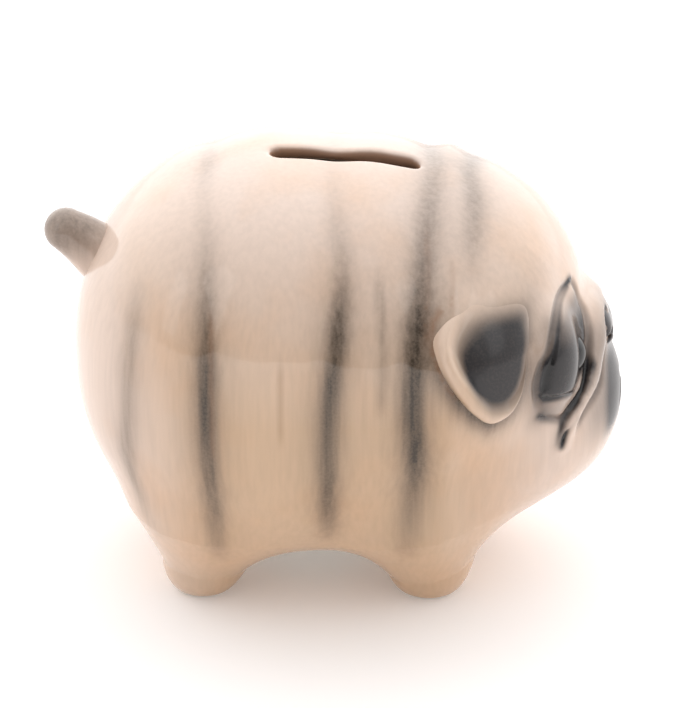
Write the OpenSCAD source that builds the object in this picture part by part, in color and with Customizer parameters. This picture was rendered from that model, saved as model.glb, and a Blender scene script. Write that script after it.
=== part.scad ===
// Pug coin bank: a hollow slip-cast clay body with ears, eyes, nose and tail
// luted on, a coin slot in the back and a rubber bung in the belly.
// +X points to the muzzle, Z = 0 is the table, Y = 0 is the mirror plane.

/* [Trunk] */
// Length of the barrel-shaped trunk
trunk_l = 125; // [119:1:131]
// Width of the trunk, the widest part of the bank
trunk_w = 114; // [108:1:120]
// Height of the trunk
trunk_h = 120; // [116:1:124]
// Height of the belly above the table
belly_z = 9; // [8:0.5:10]
// Thickness of the cast clay wall
wall = 4.5; // [4:0.5:6]

/* [Head] */
// Width of the head between the ears
head_w = 104; // [98:1:108]
// Height of the head
head_h = 84; // [78:1:88]
// Width of the muzzle
muzzle_w = 52; // [46:1:56]

/* [Legs] */
// Distance from the mirror plane to the middle of a foot
foot_y = 24.5; // [23:0.5:27]
// Radius of a foot
foot_r = 12; // [11:0.5:13]
// Distance between the front and the rear feet
stance = 66; // [62:1:70]

/* [Face] */
// Radius of an eye
eye_r = 7.5; // [7:0.5:9]
// Width of the nose pad
nose_w = 21; // [18:1:24]
// Height of the nose pad
nose_h = 12.5; // [11:0.5:14]

/* [Ears] */
// Radius of the round upper part of an ear
ear_r = 15; // [13:0.5:16]
// Extra length of the ear's tip, as a share of its radius
ear_tip = 0.3; // [0.2:0.05:0.4]
// Height of the ear's rim over the head
ear_rim = 4.5; // [3.5:0.5:5]
// Depth of the hollow inside the rim
ear_dish = 1.8; // [1:0.2:2.4]

/* [Tail] */
// Radius of the tail where it leaves the rump
tail_root_r = 9; // [8:0.5:10]
// Radius of the tail's rounded tip
tail_tip_r = 6; // [5:0.5:7]

/* [Coin slot] */
// Length of the slot
slot_l = 42; // [36:1:44]
// Width of the slot
slot_w = 6; // [5.5:0.5:7]

/* [Bung] */
// Radius of the hole in the belly
hole_r = 17; // [15:0.5:18]
// Width of the flat recess around the hole that hides the bung's flange
recess_w = 4; // [3:0.5:5]
// Thickness of the bung's flange
flange_t = 2.5; // [2:0.5:3]
// Height of the grip bar moulded under the flange
grip_h = 3.5; // [2:0.5:4]

/* [Hidden] */

$fn = 64;
cream = [0.93, 0.85, 0.76];
smoke = [0.24, 0.23, 0.23];
taupe = [0.62, 0.55, 0.51];
rubber = [0.93, 0.92, 0.88];

// Middles and half-axes of the rounded masses that the body is modelled from
trunk_mid = [-13, 0, belly_z + trunk_h / 2];
trunk_half = [trunk_l, trunk_w, trunk_h] / 2;
head_mid = [34, 0, 79];
head_half = [39, head_w / 2, head_h / 2];
muzzle_mid = [66, 0, 54];
muzzle_half = [18, muzzle_w / 2, 24];
jowl_mid = [55, 18, 50];
jowl_half = [18, 20, 18];
roll_mid = [70, 0, 78];
roll_half = [9, 17, 8];
lid_mid = [59.5, 29, 78];
lid_half = [10.5, 12.5, 17.5];
chest_mid = [37, 0, 41];
chest_half = [24, 36, 28];

// Squareness of the trunk seen from the end, and seen from the side
end_square = 2.4;
side_square = 2.2;

// Legs: round cones from hip to foot, worn flat where they stand
front_x = 28;
rear_x = front_x - stance;
foot_z = foot_r - 3;
rear_hip = [rear_x + 2, foot_y, 26];
rear_foot = [rear_x, foot_y, foot_z];
front_hip = [front_x - 4, foot_y + 1, 28];
front_foot = [front_x, foot_y - 1, foot_z];
hip_r = 20;
front_foot_r = foot_r + 0.5;

// Widths over which the creases between the masses are filled
muzzle_fill = 12;
jowl_fill = 14;
roll_fill = 7;
lid_fill = 4;
head_fill = 26;
chest_fill = 18;
leg_fill = 14;

// How the surface is drawn: the middle that all rays start from, how many there
// are, and where the surface is looked for along them
heart = [-6, 0, 65];
rings = 40;
spokes = 72;
ray_start = 5;
ray_end = 110;
halvings = 14;
// Crowding of the spokes towards the face
crowd = 14;
// Deepest that a luted piece reaches into the wall
seat = 1.5;

// Bung and hole
bung_x = -6;
recess_r = hole_r + recess_w;
recess_z = belly_z + 3.5;
ring_z = recess_z + wall;
play = 0.05;
flange_gap = 0.5;
groove = 1.2;
bead_h = 3.5;
bead_flat = 1;
lead_in = 1;
grip_l = 26;
grip_w = 5;
slot_x = 3;
// Length of a tool that cuts right through a wall
cut = 60;

// Middle of an ear seen from the side, and its rings from the middle outwards:
// share of the ear's radius, share of the dish, share of the rim's height
ear_mid = [43.5, 88];
ear_spokes = 32;
ear_rings = [[0.3, 1, 1], [0.6, 0.8, 1], [0.76, 0.2, 1], [0.87, 0, 1], [0.95, 0, 0.9], [1, 0, 0.6]];
ear_back_rings = [0.96, 0.6];
// Where the head's side is looked for: distances from the mirror plane
side_start = 5;
side_end = 75;

// Middles of the right eye and of the nose pad
eye_mid = [63.6, -22, 77];
nose_mid = [75, 0, 75];

// Tail: where it leaves the rump and the middle of its tip
tail_root = [-66, 0, 95];
tail_tip = [-77.5, 0, 104.5];
tip_step = 10;

// Signed height over an ellipsoid with the half-axes r around c
function over_ball(p, c, r) =
    let (q = p - c)
    let (a = norm([q.x / r.x, q.y / r.y, q.z / r.z]))
    let (b = norm([q.x / pow(r.x, 2), q.y / pow(r.y, 2), q.z / pow(r.z, 2)]))
    a * (a - 1) / max(b, 0.0001);

// The same over a barrel: squarer than an ellipsoid across (n) and along (m)
function over_barrel(p, c, r, n, m) =
    let (x = abs(p.x - c.x) / r.x + 0.000001)
    let (y = abs(p.y - c.y) / r.y + 0.000001)
    let (z = abs(p.z - c.z) / r.z + 0.000001)
    let (s = pow(pow(y, n) + pow(z, n), 1 / n))
    let (g = pow(pow(s, m) + pow(x, m), 1 / m))
    let (k = pow(s / g, m - 1) * pow(s, 1 - n))
    let (slope = [pow(x / g, m - 1) / r.x, k * pow(y, n - 1) / r.y, k * pow(z, n - 1) / r.z])
    (g - 1) / norm(slope);

// The same over a leg: a round cone from a to b with the radii ra and rb
function over_leg(p, a, b, ra, rb) =
    let (along = b - a)
    let (t = min(max((p - a) * along / (along * along), 0), 1))
    norm(p - a - t * along) - ra - (rb - ra) * t;

// The lower of two heights, with the crease between them filled over a width k
function soft(a, b, k) =
    let (h = max(k - abs(a - b), 0) / k)
    min(a, b) - h * h * k / 4;

// Height over the whole body: trunk, head, muzzle, jowls, nose roll, lids, chest and legs
function over_body(p) =
    let (q = [p.x, abs(p.y), p.z])
    let (trunk = over_barrel(q, trunk_mid, trunk_half, end_square, side_square))
    let (head = over_ball(q, head_mid, head_half))
    let (muzzled = soft(head, over_ball(q, muzzle_mid, muzzle_half), muzzle_fill))
    let (jowled = soft(muzzled, over_ball(q, jowl_mid, jowl_half), jowl_fill))
    let (rolled = soft(jowled, over_ball(q, roll_mid, roll_half), roll_fill))
    let (face = soft(rolled, over_ball(q, lid_mid, lid_half), lid_fill))
    let (chested = soft(soft(trunk, face, head_fill), over_ball(q, chest_mid, chest_half), chest_fill))
    let (standing = soft(chested, over_leg(q, rear_hip, rear_foot, hip_r, foot_r), leg_fill))
    soft(standing, over_leg(q, front_hip, front_foot, hip_r, front_foot_r), leg_fill);

// Height over the hollow: the body less its wall, with a floor left in the feet
function over_hollow(p) = max(over_body(p) + wall, wall - p.z);

// Height over one of the two
function over(p, inside) = inside ? over_hollow(p) : over_body(p);

// Distance from the heart to the surface along a ray, by halving
function reach(ray, inside, near, away, left) =
    let (mid = (near + away) / 2)
    left == 0 ? mid
    : over(heart + mid * ray, inside) < 0 ? reach(ray, inside, mid, away, left - 1)
    : reach(ray, inside, near, mid, left - 1);

// A point of the surface, from the angle down from the top and the one around
function surface_point(down, around, inside) =
    let (ray = [sin(down) * cos(around), sin(down) * sin(around), cos(down)])
    heart + reach(ray, inside, ray_start, ray_end, halvings) * ray;

// Angle of a spoke around the bank
function spoke(i, n) = 360 * i / n - crowd * sin(360 * i / n);

// Side faces between rings of n points, and the fans that close the two ends
function bands(m, n) = [
    for (j = [0 : m - 2])
    for (i = [0 : n - 1])
    let (a = j * n + i, b = j * n + (i + 1) % n)
    for (f = [[a, b, b + n], [a, b + n, a + n]]) f
];
function fan_first(m, n) = [for (i = [0 : n - 1]) [(i + 1) % n, i, m * n]];
function fan_last(m, n) =
    let (k = (m - 1) * n)
    [for (i = [0 : n - 1]) [k + i, k + (i + 1) % n, m * n + 1]];

// A closed skin through rings of points with an end point on each side
module skin(loops, first, last) {
    m = len(loops);
    n = len(loops[0]);
    points = concat([for (loop = loops) for (p = loop) p], [first, last]);
    polyhedron(points, concat(bands(m, n), fan_first(m, n), fan_last(m, n)));
}

// The body's outside, or its hollow, as m rings of n points
module figure(inside, m, n) {
    step = 180 / (m + 1);
    loops = [for (j = [1 : m]) [for (i = [0 : n - 1]) surface_point(step * j, spoke(i, n), inside)]];
    skin(loops, surface_point(0, 0, inside), surface_point(180, 0, inside));
}

// The tool that cuts the slot: a bar with round ends
module coin_slot() {
    half = (slot_l - slot_w) / 2;
    foot = belly_z + trunk_h - cut / 2;
    translate([slot_x - half, -slot_w / 2, foot]) cube([2 * half, slot_w, cut]);
    for (end = [-1, 1])
        translate([slot_x + end * half, 0, foot]) cylinder(h = cut, r = slot_w / 2);
}

// The cast body with its slot, its belly hole and the flats that it stands on
module body_shell() {
    color(cream) difference() {
        figure(false, rings, spokes);
        difference() {
            figure(true, rings / 2, spokes / 2);
            translate([bung_x, 0, 0]) cylinder(h = ring_z, r = recess_r + wall);
        }
        coin_slot();
        translate([bung_x, 0, recess_z - cut]) cylinder(h = cut, r = recess_r);
        translate([bung_x, 0, 0]) cylinder(h = cut, r = hole_r);
        translate([-2 * cut, -2 * cut, -cut]) cube([4 * cut, 4 * cut, cut]);
    }
}

// Where a line across the bank, at x and z, meets the right side raised by a height
function side_y(x, z, height, near, away, left) =
    let (mid = (near + away) / 2)
    left == 0 ? -mid
    : over_body([x, mid, z]) < height ? side_y(x, z, height, mid, away, left - 1)
    : side_y(x, z, height, near, mid, left - 1);

// A point on the right ear: a share of its radius at an angle, at a height over the head
function ear_point(share, angle, height) =
    let (r = share * ear_r * (1 + ear_tip * pow((1 - sin(angle)) / 2, 4)))
    let (x = ear_mid.x + r * cos(angle))
    let (z = ear_mid.y + r * sin(angle))
    [x, side_y(x, z, height, side_start, side_end, halvings), z];

// One flap of clay: rounded rim, dished middle, back let into the head
module ear_flap() {
    front = [
        for (ring = ear_rings)
        [for (i = [0 : ear_spokes - 1])
            ear_point(ring[0], 360 * i / ear_spokes, ear_rim * ring[2] - ear_dish * ring[1])]
    ];
    back = [
        for (share = ear_back_rings)
        [for (i = [0 : ear_spokes - 1]) ear_point(share, 360 * i / ear_spokes, -seat)]
    ];
    skin(concat(front, back), ear_point(0, 0, ear_rim - ear_dish), ear_point(0, 0, -seat));
}

module right_ear() {
    color(cream) ear_flap();
}

module left_ear() {
    color(cream) mirror([0, 1, 0]) ear_flap();
}

module right_eye() {
    color(smoke) translate(eye_mid) sphere(r = eye_r);
}

module left_eye() {
    color(smoke) mirror([0, 1, 0]) translate(eye_mid) sphere(r = eye_r);
}

// A rounded pad across the face
module nose() {
    r = nose_h / 2;
    span = nose_w - nose_h;
    color(smoke) union() {
        translate(nose_mid + [0, -span / 2, 0]) rotate([-90, 0, 0]) cylinder(h = span, r = r);
        for (side = [-1, 1])
            translate(nose_mid + [0, side * span / 2, 0]) sphere(r = r);
    }
}

// A short cone with a round end, leaning back and up
module tail() {
    lean = tail_tip - tail_root;
    round_end = [for (a = [0 : tip_step : 90]) [tail_tip_r * cos(a), norm(lean) + tail_tip_r * sin(a)]];
    color(taupe) translate(tail_root) rotate([0, -acos(lean.z / norm(lean)), 0])
        rotate_extrude() polygon(concat([[0, 0], [tail_root_r, 0]], round_end));
}

// Rubber bung: flange in the recess, groove in the wall, bead above the wall
module stopper() {
    bead_r = hole_r - play;
    bottom = recess_z - flange_t;
    color(rubber) union() {
        translate([bung_x, 0, 0]) rotate_extrude() polygon([
            [0, bottom],
            [recess_r - flange_gap - lead_in, bottom],
            [recess_r - flange_gap, bottom + lead_in],
            [recess_r - flange_gap, recess_z],
            [bead_r, recess_z],
            [bead_r - groove, recess_z + lead_in],
            [bead_r - groove, ring_z],
            [bead_r, ring_z + lead_in],
            [bead_r, ring_z + lead_in + bead_flat],
            [bead_r - groove, ring_z + bead_h],
            [0, ring_z + bead_h]
        ]);
        translate([bung_x - grip_l / 2, -grip_w / 2, bottom - grip_h])
            cube([grip_l, grip_w, grip_h + lead_in]);
    }
}

body_shell();
right_ear();
left_ear();
right_eye();
left_eye();
nose();
tail();
stopper();
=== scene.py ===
# %% [markdown]
# # A pug coin bank in glazed earthenware
#
# The real object is slip cast: liquid clay is poured into a plaster mould, a wall a few
# millimetres thick stiffens against it, and the rest is poured out. The ears, eyes, nose and
# tail are luted on while the clay is damp, grey and black slip is airbrushed into the folds,
# and one clear glaze goes over all of it. A rubber bung closes the hole in the belly.
#
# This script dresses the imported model: it loads the frame, models each piece again in finer
# mesh, gives it its finish, and sets it on a pale floor. All work is done in millimetres and
# turned into metres when a mesh is made.

# %% Load the frame
import math
import bmesh
import bpy
import numpy as np
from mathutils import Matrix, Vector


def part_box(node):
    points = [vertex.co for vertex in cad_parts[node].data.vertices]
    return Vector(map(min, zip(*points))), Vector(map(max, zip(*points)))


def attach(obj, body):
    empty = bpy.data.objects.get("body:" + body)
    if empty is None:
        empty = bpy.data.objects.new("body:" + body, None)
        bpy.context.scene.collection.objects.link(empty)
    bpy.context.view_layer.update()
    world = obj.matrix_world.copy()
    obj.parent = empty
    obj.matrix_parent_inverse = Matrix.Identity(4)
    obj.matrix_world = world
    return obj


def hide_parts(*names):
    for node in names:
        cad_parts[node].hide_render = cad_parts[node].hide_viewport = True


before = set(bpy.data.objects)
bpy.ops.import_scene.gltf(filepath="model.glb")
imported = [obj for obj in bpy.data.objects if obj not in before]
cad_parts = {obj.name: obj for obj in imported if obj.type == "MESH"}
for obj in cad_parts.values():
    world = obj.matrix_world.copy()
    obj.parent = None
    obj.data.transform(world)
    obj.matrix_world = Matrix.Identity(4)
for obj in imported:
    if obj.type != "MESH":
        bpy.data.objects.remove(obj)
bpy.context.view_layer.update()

MM = 0.001

# %% [markdown]
# ## Modelling with heights
#
# Clay animals are hard to box-model, because every mass flows into the next. It is easier to
# describe the surface as a height function: negative inside the clay, zero on the skin,
# positive outside. Round masses are ellipsoids, and two masses are joined with a smooth
# minimum, which fills the crease between them just as a thumb of wet clay does.

# %% Masses and joins
def ball(p, middle, radii):
    """Height over an ellipsoid."""
    q = p - np.array(middle, float)
    r = np.array(radii, float)
    a = np.sqrt(((q / r) ** 2).sum(-1))
    b = np.sqrt(((q / r ** 2) ** 2).sum(-1))
    return a * (a - 1) / np.maximum(b, 1e-6)


def barrel(p, middle, radii, across, along):
    """Height over a squared-off ellipsoid that lies along X."""
    q = np.abs(p - np.array(middle, float)) / np.array(radii, float) + 1e-6
    s = (q[..., 1] ** across + q[..., 2] ** across) ** (1 / across)
    g = (s ** along + q[..., 0] ** along) ** (1 / along)
    k = (s / g) ** (along - 1) * s ** (1 - across)
    sx = (q[..., 0] / g) ** (along - 1) / radii[0]
    sy = k * q[..., 1] ** (across - 1) / radii[1]
    sz = k * q[..., 2] ** (across - 1) / radii[2]
    return (g - 1) / np.sqrt(sx * sx + sy * sy + sz * sz)


def limb(p, a, b, ra, rb):
    """Height over a round cone from a to b."""
    a, b = np.array(a, float), np.array(b, float)
    t = np.clip(((p - a) @ (b - a)) / ((b - a) @ (b - a)), 0, 1)
    return np.sqrt(((p - a - t[..., None] * (b - a)) ** 2).sum(-1)) - ra - (rb - ra) * t


def join(a, b, fill):
    """The union of two masses, with the crease between them filled over a width."""
    h = np.maximum(fill - np.abs(a - b), 0) / fill
    return np.minimum(a, b) - h * h * fill / 4


def carve(a, tool, ease):
    """a with the tool's mass taken away, its edge eased over a width."""
    return -join(-a, tool, ease)


def half(p):
    """Folds space over the mirror plane, so that one side is described once."""
    q = p.copy()
    q[..., 1] = np.abs(q[..., 1])
    return q


# %% [markdown]
# ## The body's masses
#
# The trunk is a fat barrel, squarer than an egg. The head is an ellipsoid sunk into its front
# end, with a muzzle, two jowls and a chest below it, and four short round legs. Sizes and
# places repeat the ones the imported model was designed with, so the fine mesh lies on it.

# %% Trunk, head and legs
WALL = 4.5
EYE = (63.6, 22.0, 77.0)
EYE_R = 7.5


def plain_body(p):
    """The body without its details, which the hollow inside follows too."""
    q = half(p)
    head = ball(q, (34, 0, 79), (39, 52, 42))
    head = join(head, ball(q, (66, 0, 54), (18, 26, 24)), 12)
    head = join(head, ball(q, (55, 18, 50), (18, 20, 18)), 14)
    head = join(head, ball(q, (70, 0, 78), (9, 17, 8)), 7)
    head = join(head, ball(q, (59.5, 29, 78), (10.5, 12.5, 17.5)), 4)
    body = barrel(q, (-13, 0, 69), (62.5, 57, 60), 2.4, 2.2)
    body = join(body, head, 26)
    body = join(body, ball(q, (37, 0, 41), (24, 36, 28)), 18)
    body = join(body, limb(q, (-36, 24.5, 26), (-38, 24.5, 9), 20, 12), 14)
    return join(body, limb(q, (24, 25.5, 28), (28, 23.5, 9), 20, 12.5), 14)


probe = np.array([[-13.0, -57.0, 69.0], [-75.5, 0, 69], [84, 0, 50]])
print("height at flank, rump and muzzle:", plain_body(probe).round(2), "mm")

# %% [markdown]
# ## Folds of skin
#
# A pug's coat hangs in folds across the back. On the bank they are shallow waves, less than a
# millimetre high, that show mostly in the way the gloss bends over them. Each fold is a line
# round the barrel: its place along the body changes a little with the angle from the belly
# (-90 degrees) over the flank (0) to the spine (90). The same lines carry the airbrushed
# stripes later, because the potter sprays the slip into the valleys.

# %% Lines round the barrel
def round_angle(p):
    """Angle round the trunk's axis in degrees: -90 belly, 0 flank, 90 spine."""
    return np.degrees(np.arctan2(p[..., 2] - 69, np.abs(p[..., 1]) + 1e-6))


def smooth_steps(x, xs, ys):
    """Values between given stops, eased so that no corner shows."""
    x = np.clip(x, xs[0], xs[-1])
    i = np.clip(np.searchsorted(xs, x) - 1, 0, len(xs) - 2)
    xs, ys = np.array(xs, float), np.array(ys, float)
    t = (x - xs[i]) / (xs[i + 1] - xs[i])
    slope = np.gradient(ys, xs)
    w = xs[i + 1] - xs[i]
    h00, h10 = 2 * t ** 3 - 3 * t ** 2 + 1, t ** 3 - 2 * t ** 2 + t
    h01, h11 = -2 * t ** 3 + 3 * t ** 2, t ** 3 - t ** 2
    return h00 * ys[i] + h10 * w * slope[i] + h01 * ys[i + 1] + h11 * w * slope[i + 1]


# Each stripe: angles, its place along X there, how dark it is there, half-width in mm
STRIPES = {
    "rump": ([-50, -34, 0, 30, 50], [-51, -56.5, -57.5, -55.5, -54], [0, 0.3, 0.3, 0.25, 0], 2.6),
    "loin": ([-52, -33, -15, 3, 20, 38, 55, 74, 90],
             [-32, -33, -34, -34.5, -34.5, -34.3, -34.8, -36.5, -36],
             [0.05, 0.45, 0.62, 0.78, 0.72, 0.4, 0.16, 0.1, 0.22], 3.0),
    "middle": ([-46, -32, -9, 10, 30, 46, 64, 90], [-1, -0.8, -0.6, 0, 2.2, 3.1, 0.8, 0],
               [0.05, 0.45, 0.66, 0.74, 0.7, 0.3, 0.12, 0.04], 3.0),
    "shoulder": ([-50, -34, -15, 4, 25, 38, 53, 70, 90],
                 [21, 22.5, 23.8, 23.1, 23.6, 24.7, 25.9, 27.2, 28.6],
                 [0.08, 0.35, 0.7, 0.9, 0.95, 0.62, 0.45, 0.36, 0.3], 3.6),
    "neck": ([40, 51, 62, 74, 90], [38.5, 38.8, 39.6, 39.8, 38.5], [0, 0.16, 0.3, 0.36, 0.34], 3.4),
}
# Each fold: the stripe it follows, its depth and its width; each swell: its place, height and width
FOLDS = (("loin", 0.8, 5), ("middle", 0.7, 5.5), ("shoulder", 1.3, 5), ("neck", 0.7, 5))
SWELLS = ((-21, 0.5, 6.5), (-47, 0.3, 6), (12, 0.35, 5), (33, 0.7, 3.4))


def off_line(p, angles, places):
    """Distance along X from a line round the barrel."""
    return p[..., 0] - smooth_steps(round_angle(p), angles, places)


def folds(p):
    """Height of the skin folds: a valley along each stripe and a swell beside it."""
    q = half(p)
    up = np.clip((round_angle(q) + 60) / 40, 0, 1)
    h = np.zeros(p.shape[:-1])
    for name, deep, wide in FOLDS:
        d = off_line(q, STRIPES[name][0], STRIPES[name][1])
        h -= deep * np.exp(-(d / wide) ** 2)
    for place, high, wide in SWELLS:
        d = q[..., 0] - place - 1.5 * np.sin(np.radians(round_angle(q) * 2.2))
        h += high * np.exp(-(d / wide) ** 2)
    return h * up


for name, line in STRIPES.items():
    print(f"fold {name}: x from {min(line[1])} to {max(line[1])} mm, half-width {line[3]} mm")

# %% [markdown]
# ## The face
#
# The face is where a pug is recognised: a rolled fold over the nose, heavy dark lids that
# bulge to the side, round eyes set in rims, and short creases running down the cheeks. Rolls
# are chains of round cones joined on, creases are thin tubes carved away, and lid rims are
# rings round the eyeballs. The points of each line are given for one side of the face.

# %% Rolls, creases and rims
def path_points(points, n=24):
    """A smooth path through given points."""
    points = np.array(points, float)
    t = np.linspace(0, len(points) - 1, n)
    steps = np.arange(len(points))
    return np.stack([smooth_steps(t, steps, points[:, i]) for i in range(points.shape[1])], -1)


def off_path(p, points, n=24):
    """Distance from a smooth path, and how far along it the nearest place is (0 to 1)."""
    path = path_points(points, n)[:, :3]
    best = np.full(p.shape[:-1], 1e9)
    share = np.zeros(p.shape[:-1])
    for i in range(n - 1):
        a, ab = path[i], path[i + 1] - path[i]
        t = np.clip(((p - a) @ ab) / (ab @ ab), 0, 1)
        d = np.sqrt(((p - a - t[..., None] * ab) ** 2).sum(-1))
        nearer = d < best
        share = np.where(nearer, (i + t) / (n - 1), share)
        best = np.minimum(best, d)
    return best, share


# The roll's middle line with its radius, then the creases
NOSE_ROLL = [(72.5, 0, 80.3), (73, 7, 79.3), (73.4, 12, 76.8), (73.2, 16, 72.8), (72.6, 19.6, 69),
             (71, 24, 66), (68.3, 28.6, 62.8), (65.6, 32.3, 58.5), (64.5, 33.8, 54.5)]
ROLL_R = [4.2, 4.4, 4.6, 4.2, 3.9, 3.4, 3.3, 3.2, 2.6]
LID_CREASE = [(67, 16.5, 97.3), (64.5, 24, 97), (62.9, 31, 95.3), (62, 36.7, 91.8),
              (60.8, 40.3, 86.6), (58.8, 42, 82.9), (57.5, 43, 77.6), (57.9, 42, 71.7),
              (58.8, 40.2, 66)]
LID_RIDGE = [(66.7, 18.8, 96.5), (64.4, 28, 95), (63.5, 35.8, 91.3), (62.6, 39.3, 86.8), (61.5, 41, 83),
             (60, 42, 78.7), (59.4, 41.9, 73.5)]
LID_CORNER = [(61.4, 41, 82.8), (60.7, 41.7, 80), (60.3, 41.8, 77), (60, 41.6, 74)]
LOWER_LID = [(59.2, 42, 73.4), (61.6, 40.8, 72), (66.2, 37.3, 71), (70.3, 27, 68.5)]
LID_BAG = [(58.8, 40.2, 66), (61, 38.5, 64.3), (65.1, 34.7, 62.4), (69.2, 30, 64.2), (71, 27, 65.5)]
CHEEK_CREASE = [(67.6, 15, 96.8), (69.2, 13.6, 93.6), (70.1, 13.8, 90.5), (71.7, 13.4, 87),
                (73, 16.4, 82.4), (72.8, 19.2, 76.8), (72.4, 21, 71.7), (70.7, 26.8, 66.7),
                (66.5, 33.5, 63.3), (64.3, 36.3, 55.6), (64.2, 36.6, 52)]
JOWL_CREASE = [(69, 31, 61.3), (66.7, 34, 58.3), (65.7, 35.3, 55.4), (64.9, 36.1, 52)]
NOSE_UNDER = [(78.6, 2, 81.7), (78.4, 8.9, 79), (78.2, 10.6, 74.4), (76.9, 15.5, 68.8),
              (76.4, 19.7, 65.2), (72.9, 26.6, 62.1), (70.8, 30, 59.7), (69.4, 32.4, 55.5)]
MOUTH = [(83.5, 0, 68), (84, 0, 61), (82.6, 5, 54.5), (78.4, 13, 48.5), (71.5, 21, 44), (65, 27, 43.5)]
# Each crease: its line, its depth and width in mm, how much of it fades at the start and at the
# end, how dark it is painted with slip and painted shade in the fold, and that paint's width in mm
CREASES = [(LID_CREASE, 1.3, 1.1, 0.1, 0.15, 0.95, 1.1),
           (LID_RIDGE, 0.5, 0.8, 0.3, 0.3, 0.5, 0.8),
           (LID_CORNER, 1.1, 1.3, 0.3, 0.3, 1.0, 1.6),
           (LOWER_LID, 0.9, 0.9, 0.2, 0.3, 0.95, 1.0),
           (LID_BAG, 0.6, 1.2, 0.2, 0.3, 0.7, 1.5),
           (CHEEK_CREASE, 1.5, 1.3, 0.05, 0.3, 0.95, 1.3),
           (JOWL_CREASE, 1.0, 1.1, 0.3, 0.4, 0.97, 1.1),
           (NOSE_UNDER, 1.3, 1.1, 0.05, 0.3, 0.7, 1.1),
           (MOUTH, 1.2, 1.1, 0.0, 0.25, 0.9, 1.3)]
GAZE = np.array([math.cos(math.radians(22)), math.sin(math.radians(22)), 0.04])
RIM_OUT = 4.6
RIM_R = math.sqrt(EYE_R ** 2 - RIM_OUT ** 2)


def lid_rim(q, tube):
    """Height over the ring of lid round the eyeball."""
    gaze = GAZE / np.linalg.norm(GAZE)
    v = q - (np.array(EYE) + gaze * RIM_OUT)
    out = v @ gaze
    flat = np.sqrt(np.maximum((v ** 2).sum(-1) - out ** 2, 1e-9))
    return np.sqrt((flat - RIM_R) ** 2 + out ** 2) - tube


def face(body, q):
    """The body with the roll, lids, eye sockets and creases."""
    d, t = off_path(q, NOSE_ROLL)
    body = join(body, d - smooth_steps(t, np.linspace(0, 1, len(ROLL_R)), ROLL_R), 2.5)
    body = join(body, lid_rim(q, 1.2), 2.0)
    for line, deep, wide, start, end, *_ in CREASES:
        d, t = off_path(q, line)
        dent = deep * np.exp(-(d / wide) ** 2)
        body = body + dent * np.clip(t / (start + 1e-3), 0, 1) * np.clip((1 - t) / (end + 1e-3), 0, 1)
    return body


roll_mm = np.linalg.norm(np.diff(path_points(NOSE_ROLL), axis=0), axis=1).sum()
print("nose roll", round(float(roll_mm), 1), "mm long a side")

# %% [markdown]
# ## Slot, hollow and hole
#
# The casting is hollow. Its inside follows the outside one wall thickness in, the slot is cut
# through the back while the clay is soft, so it wanders a little with the folds and its edges
# are rounded by the sponge and the glaze, and the belly has a round hole in a flat recess.

# %% The hollow casting
stop_low, stop_high = (np.array(c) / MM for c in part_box("stopper"))
HOLE_X = round(float(stop_low[0] + stop_high[0]) / 2, 2)
RECESS_R = round(float(stop_high[0] - stop_low[0]) / 2 + 0.5, 2)
HOLE_R = RECESS_R - 4
RECESS_Z = 12.5
SLOT_X, SLOT_L, SLOT_W = 3.0, 42.0, 6.0


def slot(p):
    """Height over the coin slot's cutter, a little wavy along its length."""
    x = p[..., 0] - SLOT_X
    bow = 0.5 * np.sin((x + 16) / 7.5) - 0.012 * x
    pinch = 0.25 * np.cos(x / 4.2)
    run = np.maximum(np.abs(x) - (SLOT_L - SLOT_W) / 2, 0)
    flat = np.sqrt(run ** 2 + (p[..., 1] - bow) ** 2) - SLOT_W / 2 + pinch * 0.6
    return np.maximum(flat, 100 - p[..., 2])


def post(p, r, top):
    """Height over an upright post on the hole's axis."""
    return np.maximum(np.hypot(p[..., 0] - HOLE_X, p[..., 1]) - r, p[..., 2] - top)


def hollow(p, body):
    """Height over the space inside the casting, from the plain body's height."""
    inside = np.maximum(body + WALL, WALL - p[..., 2])
    return carve(inside, post(p, RECESS_R + WALL, RECESS_Z + WALL), 3)


def casting(p, fine=True):
    """Height over the whole casting: skin, hollow, slot, hole and flat feet."""
    body = plain_body(p)
    skin = body
    if fine:
        skin = body - folds(p)
        front = p[..., 0] > 50
        skin[front] = face(skin[front], half(p[front]))
    skin = carve(skin, p[..., 2], 1.6)
    skin = carve(skin, hollow(p, body), 0.4)
    skin = carve(skin, slot(p), 2.4)
    skin = carve(skin, post(p, RECESS_R, RECESS_Z), 0.8)
    return carve(skin, post(p, HOLE_R, 60), 0.8)


print("hole radius", HOLE_R, "mm in a recess of radius", RECESS_R, "mm")

# %% [markdown]
# ## From heights to a mesh
#
# A mesh is drawn over the zero height with surface nets: wherever a cell of a grid has clay
# on one side and air on the other, it gets one point, and neighbouring cells are joined with
# quads. The points are then pushed onto the skin along its slope. Flanks need only coarse
# quads, while the face, the slot and the hole get theirs split once or twice first, because
# a crease narrower than a quad would be lost.

# %% Surface nets
def ticks(*stops):
    """Grid lines through (place, step) stops."""
    out = [stops[0][0]]
    for (a, step), (b, _) in zip(stops, stops[1:]):
        n = max(1, round((b - a) / step))
        out += [a + (b - a) * (i + 1) / n for i in range(n)]
    return np.array(out)


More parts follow.
